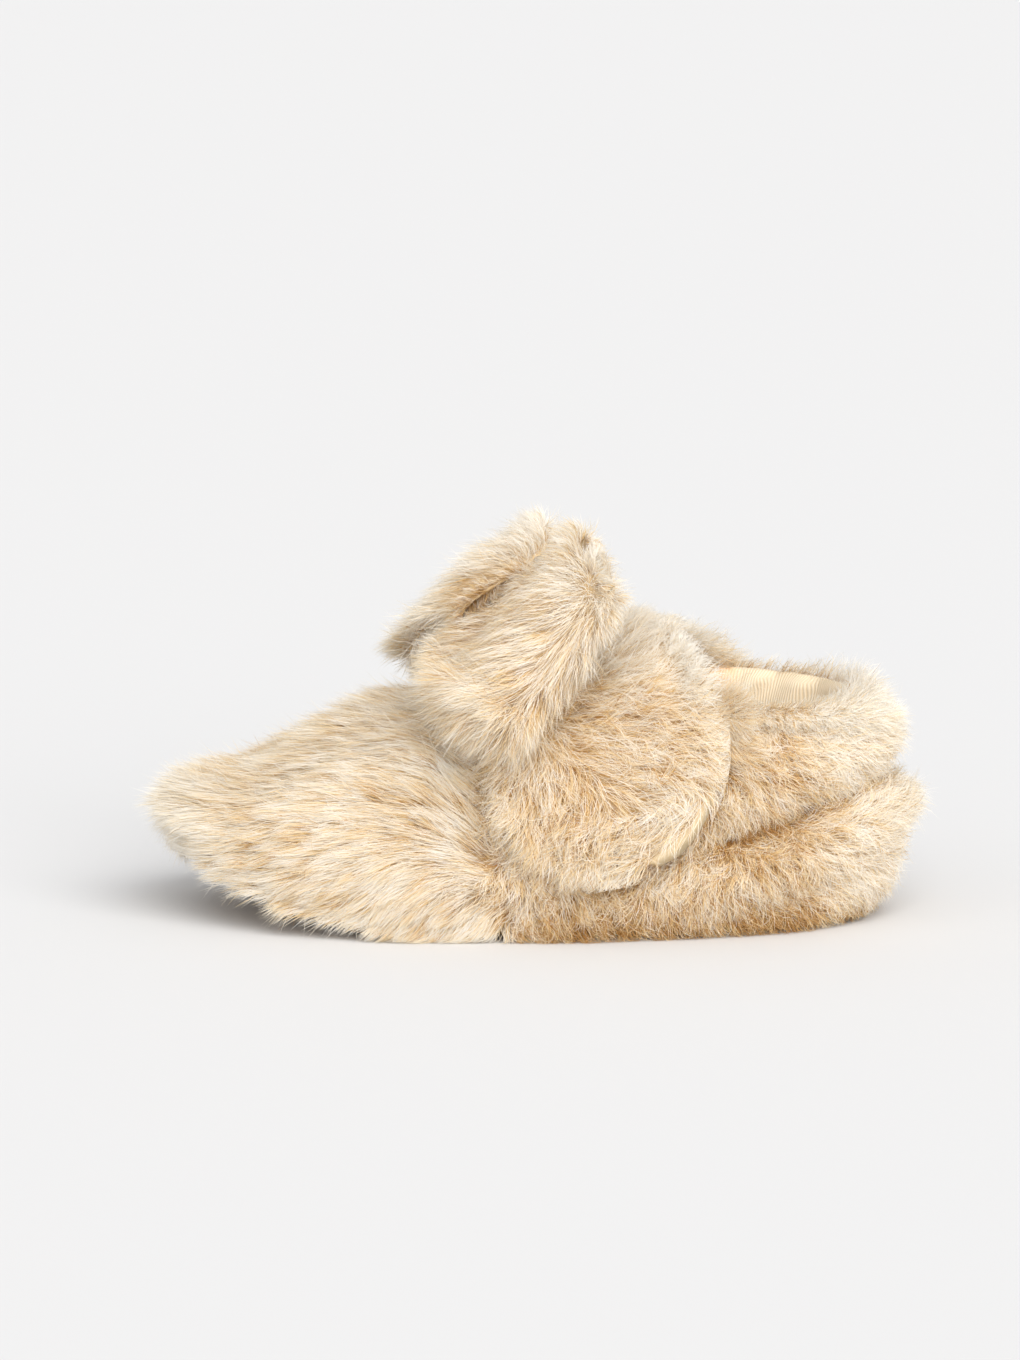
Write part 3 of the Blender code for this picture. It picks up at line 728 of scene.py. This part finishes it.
def upper_vary(places):
    """Pile stands on the vamp's crest and by the strap, and lies close low, in the fold and at the rim."""
    rim = smooth_step(31.0, 36.0, places[:, 2]) * smooth_step(20.0, 30.0, places[:, 0])
    near_rim = rim * smooth_step(0.0, -8.0, places[:, 1])
    by_strap = near_rim * smooth_step(37.0, 30.0, places[:, 0])
    dip = near_rim * smooth_step(32.0, 36.0, places[:, 0]) * smooth_step(54.0, 47.0, places[:, 0])
    crest = smooth_step(17.0, 7.0, np.abs(places[:, 1])) * smooth_step(-12.0, -22.0, places[:, 0])
    crest = crest * smooth_step(16.0, 22.0, places[:, 2])
    heel = smooth_step(42.0, 54.0, places[:, 0])
    toe = smooth_step(-56.0, -64.0, places[:, 0])
    low = smooth_step(10.0, 2.0, places[:, 2])
    above, folded = off_fold(places)
    crease = folded * np.exp(-(((above - 0.8) / 2.6) ** 2))
    longer = 1.0 - 0.42 * rim * (1.0 - heel) + 0.40 * by_strap + 0.15 * crest + 0.15 * toe
    longer = longer - low * (0.22 + 0.35 * heel) - 0.5 * crease - 0.25 * dip
    lifted = -12.0 * rim + 26.0 * by_strap + 18.0 * crest + 4.0 * toe - 4.0 * low
    return longer, lifted - 8.0 * crease - 18.0 * dip


skin_normals = normals_of(upper_skin, upper_tris)
face_middle = upper_skin[upper_tris].mean(axis=1)
face_normal = unit(skin_normals[upper_tris].sum(axis=1))
by_rim = (face_middle[:, 2] > 30.0) & (face_middle[:, 0] > 18.0)
bears_pile = np.where(by_rim, upper_outside[upper_tris].any(axis=1), upper_outside[upper_tris].all(axis=1))
bears_pile &= ~((face_normal[:, 2] < -0.75) & (face_middle[:, 2] < 6.0))
ahead = off_seam(face_middle) < 0.0
near_side = face_middle[:, 1] < 0.0
collar_front = by_rim & (face_middle[:, 0] < 34.0)
upper_look = {
    "steps": STRAIGHT_STEPS,
    "length": 7.0,
    "rise": 42.0,
    "lie": 6.0,
    "curl": 8.0,
    "lock": 1.5,
    "wander": 9.0,
    "scatter": 7.0,
    "cling": 0.55,
    "stray": 0.08,
    "rim_stand": 0.35,
    "frizz": 0.12,
    "tint": upper_tint,
    "vary": upper_vary,
}
quarter_look = dict(
    upper_look,
    steps=CURLED_STEPS,
    length=6.6,
    rise=52.0,
    lie=8.0,
    curl=55.0,
    lock=0.95,
    wander=20.0,
    scatter=18.0,
    cling=0.38,
    stray=0.16,
    frizz=0.26,
)
rim_look = dict(upper_look, length=7.4, rise=60.0, lie=34.0, curl=24.0, scatter=24.0, stray=0.2)
for name, chosen, count, comb, look, seed in (
    ("vamp_pile", ahead, 62000, (VAMP_COMB, 6.0), upper_look, 11),
    ("outer_quarter_pile", ~ahead & near_side, 42000, (QUARTER_COMB, 5.0), quarter_look, 12),
    ("inner_quarter_pile", ~ahead & ~near_side, 20000, (QUARTER_COMB, 5.0), quarter_look, 13),
    ("collar_front_pile", collar_front & near_side, 5000, (QUARTER_COMB, 5.0), rim_look, 14),
):
    look = dict(look, seed=seed)
    fur = grow_pile(name, upper_skin, upper_tris, bears_pile & chosen, count, comb, look, under_the_strap)
    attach(fur, "root")

# Lining: the same rib knit as the insole's, sewn to the upper at the collar's rim and drawn in with
# a gather, so that it stands in soft folds just inside the rim. Its foot lies on the insole.
LINING_AXIS = (27.0, 0.0)
LINING_SWEEP = 118.0
LINING_LOW = 6.2
LINING_FOOT_MM = (2.4, 0.8)
LINING_BELOW_RIM = 0.3
LINING_HIGH = 37.0
LINING_COLUMNS = 300
LINING_ROWS = 30
LINING_OFF_WALL = 0.55
LINING_TO_RIM = 0.45
WALL_FARTHEST = 45.0
GATHER_MM = 1.5
GATHER_WIDTHS = (6.0, 11.0)
GATHER_OVERLAP = 0.92
GATHERS_FROM = -40.0
GATHER_LEAN = 26.0

inner_tree = tree_of(upper_skin, upper_tris[~upper_outside[upper_tris].all(axis=1)])
sweep = np.radians(np.linspace(-LINING_SWEEP, LINING_SWEEP, LINING_COLUMNS))
heights = np.linspace(LINING_LOW, LINING_HIGH, LINING_ROWS)
wall = np.empty((LINING_ROWS, LINING_COLUMNS))
for row, height in enumerate(heights):
    starts = np.tile([*LINING_AXIS, height], (LINING_COLUMNS, 1))
    ways = np.stack([np.cos(sweep), np.sin(sweep), np.zeros(LINING_COLUMNS)], axis=-1)
    found = reach_of(inner_tree, starts, ways, 60.0)
    wall[row] = np.where(found < WALL_FARTHEST, found, wall[row - 1] if row else 20.0)
for _ in range(6):
    wall[:, 1:-1] = 0.25 * wall[:, :-2] + 0.5 * wall[:, 1:-1] + 0.25 * wall[:, 2:]
    wall[1:-1] = 0.25 * wall[:-2] + 0.5 * wall[1:-1] + 0.25 * wall[2:]
bearing = np.arctan2(upper_skin[:, 1] - LINING_AXIS[1], upper_skin[:, 0] - LINING_AXIS[0])
aside = np.abs((bearing[None, :] - sweep[:, None] + math.pi) % (2 * math.pi) - math.pi) < math.radians(6.0)
rim = np.where(aside, upper_skin[None, :, 2], 0.0).max(axis=1)
for _ in range(30):
    rim[1:-1] = 0.25 * rim[:-2] + 0.5 * rim[1:-1] + 0.25 * rim[2:]
arc = np.concatenate([[0.0], np.cumsum(np.diff(sweep) * 0.5 * (wall[-1, 1:] + wall[-1, :-1]))])
draw = np.random.default_rng(31)
fold = np.zeros((LINING_ROWS, LINING_COLUMNS))
rise_share = (heights - LINING_LOW) / (LINING_HIGH - LINING_LOW)
edge = GATHERS_FROM
while edge < arc[-1]:
    spread = draw.uniform(*GATHER_WIDTHS)
    lean = draw.uniform(0.5, 1.3) * (1.0 - rise_share)[:, None] * GATHER_LEAN
    inside = np.clip((arc[None, :] - edge - lean) / spread, 0.0, 1.0)
    hump = np.sin(math.pi * inside**0.7) ** 2
    fold = np.maximum(fold, hump * draw.uniform(0.5, 1.1))
    edge += spread * GATHER_OVERLAP
fold = fold * (rise_share**1.6 * smooth_step(1.0, 0.96, rise_share))[:, None] * GATHER_MM
lining_radius = wall - LINING_OFF_WALL + LINING_TO_RIM * smooth_step(0.95, 1.0, rise_share)[:, None] - fold
lining_radius[:2] -= np.array(LINING_FOOT_MM)[:, None]
lining_points = np.stack(
    [
        LINING_AXIS[0] + lining_radius * np.cos(sweep)[None, :],
        LINING_AXIS[1] + lining_radius * np.sin(sweep)[None, :],
        LINING_LOW + rise_share[:, None] * (rim - LINING_BELOW_RIM - LINING_LOW)[None, :],
    ],
    axis=-1,
).reshape(-1, 3)
cell = np.arange(LINING_ROWS * LINING_COLUMNS).reshape(LINING_ROWS, LINING_COLUMNS)
lining_faces = np.stack([cell[:-1, :-1], cell[1:, :-1], cell[1:, 1:], cell[:-1, 1:]], axis=-1)
lining_faces = lining_faces.reshape(-1, 4)
lining = new_piece("collar_lining", lining_points, lining_faces, [knit])
rib_map(
    lining,
    np.broadcast_to(arc[None, :], wall.shape).ravel(),
    np.broadcast_to(heights[:, None], wall.shape).ravel(),
)
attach(lining, "root")

# Strap: a wide band of the same pile fabric, sewn to the inner side, over the instep, and closed
# on the outer side by a round lobe. Its raw cut edge shows along the lower right of the lobe.
STRAP_PILE_DEPTH = 2.8
STRAP_CLOTH = 1.3
EDGE_THINNED = 0.75
BACK_EDGE_PRESSED = 3.2
ARCH_HALF_SPAN = 28.9
ARCH_BASE = 11.0
ARCH_RISE = 32.4
ARCH_POWER = 1.8
INNER_FACE_BELOW = -0.35
LOBE_SIDE = -17.0
CUT_EDGE = "f1e0bf"
CUT_EDGE_DARK = "d9bd90"
YARN_MM = 2 / 3
STRAP_COMB = (
    (6.0, 41.0, 0.90, -0.40),
    (13.0, 41.0, 0.97, -0.22),
    (21.0, 39.0, 0.98, -0.16),
    (27.0, 34.0, 0.98, -0.20),
    (29.0, 29.0, 1.00, -0.05),
    (10.0, 33.0, 0.90, -0.40),
    (19.0, 30.0, 0.97, -0.15),
    (17.0, 26.5, 0.97, 0.12),
    (27.0, 23.5, -0.92, -0.38),
    (19.0, 20.0, -0.95, -0.30),
    (20.0, 16.0, -0.92, -0.40),
    (11.0, 20.0, -0.75, -0.65),
    (6.0, 22.0, -0.35, -0.93),
    (3.0, 16.0, -0.20, -0.97),
    (9.0, 14.0, -0.55, -0.80),
    (1.0, 26.0, -0.25, -0.95),
    (-1.5, 31.0, -0.20, -0.95),
    (5.0, 28.0, 0.30, -0.90),
    (11.0, 47.0, 0.90, 0.05),
    (26.0, 47.0, 0.95, -0.25),
)
LOBE_EDGE_WAYS = np.radians(np.linspace(-80.0, 0.0, 17))
EDGE_MARGINS = np.interp(LOBE_EDGE_WAYS, np.radians([-30.0, 0.0]), [0.4, 2.0])

# The cut edge is the backing's pale inner yarn, close and matt
cut_edge, tree, shader = new_material("cut_backing_edge", roughness=0.9, specular=0.15)
yarn = tones(tree, speckle(tree, YARN_MM, 2.0), (0.0, CUT_EDGE_DARK), (1.0, CUT_EDGE))
tree.links.new(yarn, shader.inputs["Base Color"])


def arched(places):
    """The way out from the foot at places on the strap's arch."""
    side = np.sign(places[:, 1]) * np.abs(places[:, 1] / ARCH_HALF_SPAN) ** ARCH_POWER / ARCH_HALF_SPAN
    rise = np.clip((places[:, 2] - ARCH_BASE) / ARCH_RISE, 0.0, None) ** ARCH_POWER / ARCH_RISE
    return unit(np.stack([np.zeros(len(places)), side, rise], axis=-1))


solid_upper_tree = tree_of(*solid_of("upper"))
strap_points = eased(strap_points, strap_tris, 3)
strap_normals = normals_of(strap_points, strap_tris)
strap_outside = reach_of(solid_upper_tree, strap_points, strap_normals, 2.0) >= 2.0
strap_outside &= np.sum(strap_normals * arched(strap_points), axis=1) > INNER_FACE_BELOW
lobe = strap_points[strap_points[:, 1] < LOBE_SIDE][:, [0, 2]]
edge_ways = np.stack([np.cos(LOBE_EDGE_WAYS), np.sin(LOBE_EDGE_WAYS)], axis=-1)
edge_reach = (lobe @ edge_ways.T).max(axis=0)


def by_cut_edge(places, far, near):
    """1 along the lobe's cut edge, falling to 0 this far in."""
    inside = (edge_reach - places[:, [0, 2]] @ edge_ways.T).min(axis=1)
    return smooth_step(far, near, inside) * smooth_step(-12.0, -20.0, places[:, 1])


def zone(places, *limits):
    """1 inside a region, from limits that give an axis, where the effect starts and where it is full."""
    share = np.ones(len(places))
    for axis, start, full in limits:
        share = share * smooth_step(start, full, places[:, axis])
    return share


thinned = by_cut_edge(strap_points, 7.0, 2.0)
strap_skin = sunk(
    strap_points,
    strap_tris,
    strap_outside,
    STRAP_PILE_DEPTH + EDGE_THINNED * thinned,
    STRAP_CLOTH - EDGE_THINNED * thinned,
)
back_edge = zone(strap_skin, (0, 16.0, 27.0), (1, -18.0, -4.0), (2, 36.0, 42.0))
strap_skin[:, 2] -= BACK_EDGE_PRESSED * back_edge
strap_face_middle = strap_skin[strap_tris].mean(axis=1)
a, b, c = (strap_points[strap_tris[:, k]] for k in range(3))
strap_face_normal = unit(np.cross(b - a, c - a))
outward = np.sum(strap_face_normal * arched(strap_face_middle), axis=1)
on_lobe_edge = (outward > -0.3) & (outward < 0.1) & (strap_face_normal[:, 0] > -0.1)
on_lobe_edge &= (strap_face_middle[:, 1] < LOBE_SIDE) & (strap_face_normal[:, 2] < 0.3)
strap_cloth = new_piece(
    "strap_cloth", strap_skin, strap_tris, [backing, cut_edge], on_lobe_edge.astype(int)
)
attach(strap_cloth, "root")
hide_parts("strap")


def inside_cut_edge(lines):
    """Strand points drawn back inside the lobe's cut edge, so that the edge stays clean."""
    over = lines[..., [0, 2]] @ edge_ways.T - edge_reach - EDGE_MARGINS
    worst = over.argmax(axis=-1)
    amount = np.clip(over.max(axis=-1), 0.0, None) * (lines[..., 1] < LOBE_SIDE)
    moved = lines.copy()
    moved[..., [0, 2]] -= amount[..., None] * edge_ways[worst]
    return moved


def strap_tint(places):
    """A little darker in the whirl, paler by the cut edge, and paler over the instep, where the pale top is
    painted light.
    """
    whirl = np.exp(-(((places[:, 0] - 7.0) / 6.0) ** 2 + ((places[:, 2] - 25.0) / 7.0) ** 2))
    # Painted light: the strap's top over the instep is made paler
    top = smooth_step(38.0, 44.0, places[:, 2])
    drifting = 0.06 * drift(places, 15.0, 6)
    return 0.58 - 0.12 * whirl + 0.08 * by_cut_edge(places, 11.0, 2.0) + 0.34 * top + drifting


def strap_vary(places):
    """Pile lies close on the instep and by the cut edge, and is longer behind the bow and at the back."""
    top = smooth_step(37.0, 44.0, places[:, 2]) * smooth_step(8.0, 16.0, places[:, 0])
    back = top * smooth_step(22.0, 30.0, places[:, 0])
    near_back = back * smooth_step(2.0, -5.0, places[:, 1])
    behind_bow = top * smooth_step(20.0, 14.0, places[:, 0])
    flat = by_cut_edge(places, 11.0, 2.0)
    longer = 1.0 - 0.55 * top + 0.75 * back + 0.25 * near_back + 0.50 * behind_bow - 0.05 * flat
    lifted = -16.0 * top - 4.0 * back + 30.0 * near_back + 16.0 * behind_bow - 10.0 * flat
    return longer, lifted


def by_edge_lies_close(roots, normals):
    """Pile lies flat on the strap's inner face and along the cut edge, so that the edge shows."""
    inner = np.sum(normals * arched(roots), axis=1) < INNER_FACE_BELOW
    return np.where(inner, 0.4, 1.0 - 0.7 * by_cut_edge(roots, 5.0, 1.5))


inner_back_edge = (strap_face_middle[:, 0] > 22.0) & (strap_face_middle[:, 1] > 4.0)
strap_bears_pile = strap_outside[strap_tris].any(axis=1) & (outward > -0.6) & ~on_lobe_edge
strap_bears_pile |= inner_back_edge & (strap_face_middle[:, 2] > 34.0)
strap_look = dict(
    quarter_look,
    length=7.2,
    rise=46.0,
    lie=5.0,
    curl=36.0,
    wander=16.0,
    scatter=14.0,
    tint=strap_tint,
    vary=strap_vary,
    rim_stand=0.6,
    seed=21,
)
strap_fur = grow_pile(
    "strap_pile",
    strap_skin,
    strap_tris,
    strap_bears_pile,
    39000,
    (STRAP_COMB, 4.0),
    strap_look,
    by_edge_lies_close,
    inside_cut_edge,
)
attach(strap_fur, "root")

# Bow: one strip of the pile fabric folded into two loops and gathered at the middle by a knot of
# the same fabric, sewn to the strap over the instep. Its pile sweeps down and forward.
BOW_PILE_DEPTH = 2.4
BOW_CLOTH = 0.8
SHOULDER_PRESSED = 2.2
TOP_PRESSED = 2.2
ROOM_IN_LOOP = 10.0
OUTER_LOOP_COMB = (
    (-2.0, 66.0, -0.92, 0.20),
    (4.0, 67.0, -0.88, 0.20),
    (9.0, 67.0, -0.80, 0.05),
    (14.0, 62.0, -0.15, -0.95),
    (15.0, 56.0, 0.10, -0.95),
    (13.5, 50.0, 0.05, -0.98),
    (4.0, 60.0, -0.97, -0.05),
    (-3.0, 60.0, -0.98, 0.08),
    (9.0, 60.0, -0.85, -0.40),
    (9.5, 54.0, -0.45, -0.85),
    (4.0, 53.0, -0.80, -0.55),
    (-2.0, 53.0, -0.95, -0.25),
    (-8.0, 52.0, -0.95, -0.30),
    (9.0, 47.0, -0.40, -0.88),
    (2.0, 43.0, -0.65, -0.75),
    (-5.0, 45.0, -0.92, -0.35),
    (-15.0, 46.0, -0.97, -0.20),
    (-13.0, 40.0, -0.92, -0.40),
    (-4.0, 37.0, -0.68, -0.72),
    (-12.0, 34.0, -0.80, -0.58),
)
INNER_LOOP_COMB = (
    (-22.0, 40.0, -0.98, 0.10),
    (-15.0, 47.0, -0.92, -0.30),
    (-8.0, 53.0, -0.90, -0.35),
    (-6.0, 60.0, -0.90, 0.30),
    (2.0, 64.0, -0.80, 0.35),
    (8.0, 66.0, -0.60, 0.50),
    (12.0, 58.0, 0.30, -0.85),
    (6.0, 50.0, -0.60, -0.70),
    (-8.0, 40.0, -0.90, -0.20),
)


def bow_tint(places):
    """Pale, most of all on the inner loop, paler on the crown at the right with painted light, and dark in
    the small dip between the loops with painted shade.
    """
    # Painted shade between the loops
    hollow_shade = np.exp(-(((places[:, 0] + 6.5) / 4.5) ** 2 + ((places[:, 2] - 53.0) / 3.5) ** 2))
    hollow_shade = hollow_shade * smooth_step(11.0, 7.0, np.abs(places[:, 1]))
    back = smooth_step(2.0, 8.0, places[:, 1])
    # Painted light on the crown at the right, where the rim hair lies in shade
    crown = smooth_step(54.0, 60.0, places[:, 2]) * smooth_step(4.0, 10.0, places[:, 0])
    return 0.61 + 0.26 * back + 0.2 * crown - 0.7 * hollow_shade + 0.06 * drift(places, 15.0, 7)


def bow_vary(places):
    """Pile lies close by the knot, on the crown, at the back and on the inner loop's foot."""
    inward = smooth_step(-28.0, -18.0, places[:, 1]) * smooth_step(6.0, 0.0, places[:, 1])
    inward = inward * smooth_step(7.0, 1.0, places[:, 0])
    crown = smooth_step(57.0, 62.0, places[:, 2])
    back = smooth_step(6.0, 12.0, places[:, 0])
    foot = smooth_step(0.0, 6.0, places[:, 1]) * smooth_step(44.0, 39.0, places[:, 2])
    close = np.maximum(np.maximum(crown, back), foot)
    front = smooth_step(2.0, -10.0, places[:, 0]) * smooth_step(0.0, -8.0, places[:, 1])
    front = front * smooth_step(55.0, 46.0, places[:, 2])
    longer = 1.0 - 0.40 * inward - 0.38 * close + 0.35 * front
    return longer, -12.0 * inward - 2.0 * close


bow_points, bow_tris = solid_of("bow_loops")
bow_points = eased(bow_points, bow_tris, 3)
everywhere = np.ones(len(bow_points), bool)
bow_skin = sunk(bow_points, bow_tris, everywhere, BOW_PILE_DEPTH, BOW_CLOTH, sides=2)
shoulder = zone(bow_skin, (0, -20.0, -13.0), (0, 0.0, -6.0), (2, 43.0, 50.0))
shoulder = shoulder * zone(bow_skin, (1, -24.0, -16.0), (1, 0.0, -4.0))
far_top = zone(bow_skin, (0, -9.0, -2.0), (1, 6.0, 12.0), (2, 55.0, 62.0))
bow_skin[:, 2] -= SHOULDER_PRESSED * shoulder + TOP_PRESSED * far_top
bow_tree = tree_of(bow_skin, bow_tris)
bow_cloth = new_piece("bow_cloth", bow_skin, bow_tris, [backing])
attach(bow_cloth, "root")
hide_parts("bow_loops")


def inside_the_loops(roots, normals):
    """Pile inside a loop lies flat, since the loop is pressed together there."""
    room = reach_of(bow_tree, roots + normals * 0.3, normals, ROOM_IN_LOOP)
    return np.where(room < ROOM_IN_LOOP, np.clip(room / 6.0, 0.6, 1.0), 1.0)


bow_look = dict(
    upper_look,
    length=7.6,
    rise=46.0,
    lie=8.0,
    curl=12.0,
    lock=1.2,
    wander=10.0,
    scatter=9.0,
    stray=0.12,
    rim_stand=1.0,
    tint=bow_tint,
    vary=bow_vary,
)
bow_middle = bow_skin[bow_tris].mean(axis=1)
for name, chosen, count, comb, seed in (
    ("outer_loop_pile", bow_middle[:, 1] < 0.0, 54000, OUTER_LOOP_COMB, 41),
    ("inner_loop_pile", bow_middle[:, 1] >= 0.0, 38000, INNER_LOOP_COMB, 42),
):
    look = dict(bow_look, seed=seed)
    fur = grow_pile(name, bow_skin, bow_tris, chosen, count, (comb, 5.0), look, inside_the_loops)
    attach(fur, "root")

# Knot: a short band of the pile fabric, wrapped round the bow's middle and sewn behind it. Its short
# pile lies close and is painted golden as shade, so it is nearly lost between the loops.
KNOT_PILE_DEPTH = 2.6

knot_points, knot_tris = solid_of("bow_knot")
knot_points = eased(knot_points, knot_tris, 2)
everywhere = np.ones(len(knot_points), bool)
knot_skin = sunk(knot_points, knot_tris, everywhere, KNOT_PILE_DEPTH, BOW_CLOTH, sides=2)
knot_cloth = new_piece("knot_cloth", knot_skin, knot_tris, [backing])
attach(knot_cloth, "root")
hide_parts("bow_knot")


def knot_shade_tint(places):
    """Golden all over, as painted shade, since the knot lies deep between the loops."""
    return np.full(len(places), 0.47)


knot_fur = grow_pile(
    "knot_pile",
    knot_skin,
    knot_tris,
    np.ones(len(knot_tris), bool),
    11000,
    (OUTER_LOOP_COMB, 5.0),
    dict(bow_look, length=5.5, rise=36.0, lie=6.0, rim_stand=0.5, tint=knot_shade_tint, seed=43),
)
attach(knot_fur, "root")
